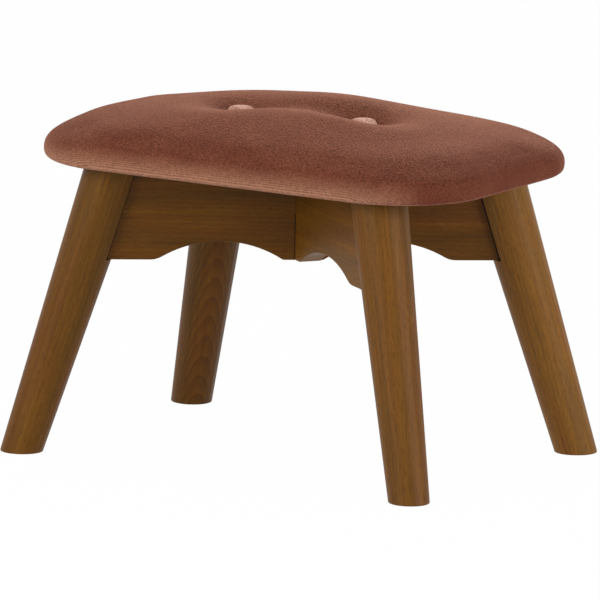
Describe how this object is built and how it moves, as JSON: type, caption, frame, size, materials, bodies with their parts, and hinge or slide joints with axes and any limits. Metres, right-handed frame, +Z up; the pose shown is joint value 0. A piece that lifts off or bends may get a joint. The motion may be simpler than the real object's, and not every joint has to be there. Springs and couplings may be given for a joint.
{
  "type": "upholstered footstool",
  "caption": "Low footstool: crowned, button-tufted velvet pad on crossed arched rails halved together, with splayed tapered round wooden legs.",
  "frame": {"origin": "on the floor, under the middle of the seat", "axes": "+X along the seat's longer side, +Y across the seat to its back, +Z up"},
  "size_m": [0.5274, 0.391, 0.3812],
  "materials": {
    "stained_beech": "walnut stain under satin lacquer",
    "plain_beech": "bare",
    "plywood": "bare",
    "foam": "open-cell foam",
    "wadding": "soft polyester fibre",
    "velvet": "short-pile velvet",
    "twine": "twisted cord",
    "nylon": "plain moulded",
    "lining_cloth": "spunbond cloth",
    "zinc_steel": "zinc plated"
  },
  "bodies": {
    "root": {"leg_front_left": "stained_beech", "leg_front_right": "stained_beech", "leg_back_left": "stained_beech", "leg_back_right": "stained_beech", "cross_rail_lower": "stained_beech", "cross_rail_upper": "stained_beech", "dowels_front_left": "plain_beech", "dowels_front_right": "plain_beech", "dowels_back_left": "plain_beech", "dowels_back_right": "plain_beech", "seat_board": "plywood", "foam_pad": "foam", "wadding": "wadding", "seat_cover": "velvet", "button_left": "velvet", "button_right": "velvet", "twine_left": "twine", "twine_right": "twine", "twine_washers": "nylon", "dust_cover": "lining_cloth", "cover_staples": "zinc_steel", "dust_cover_staples": "zinc_steel", "seat_bolts": "zinc_steel", "bolt_washers": "zinc_steel", "tee_nuts": "zinc_steel"}
  },
  "joints": []
}
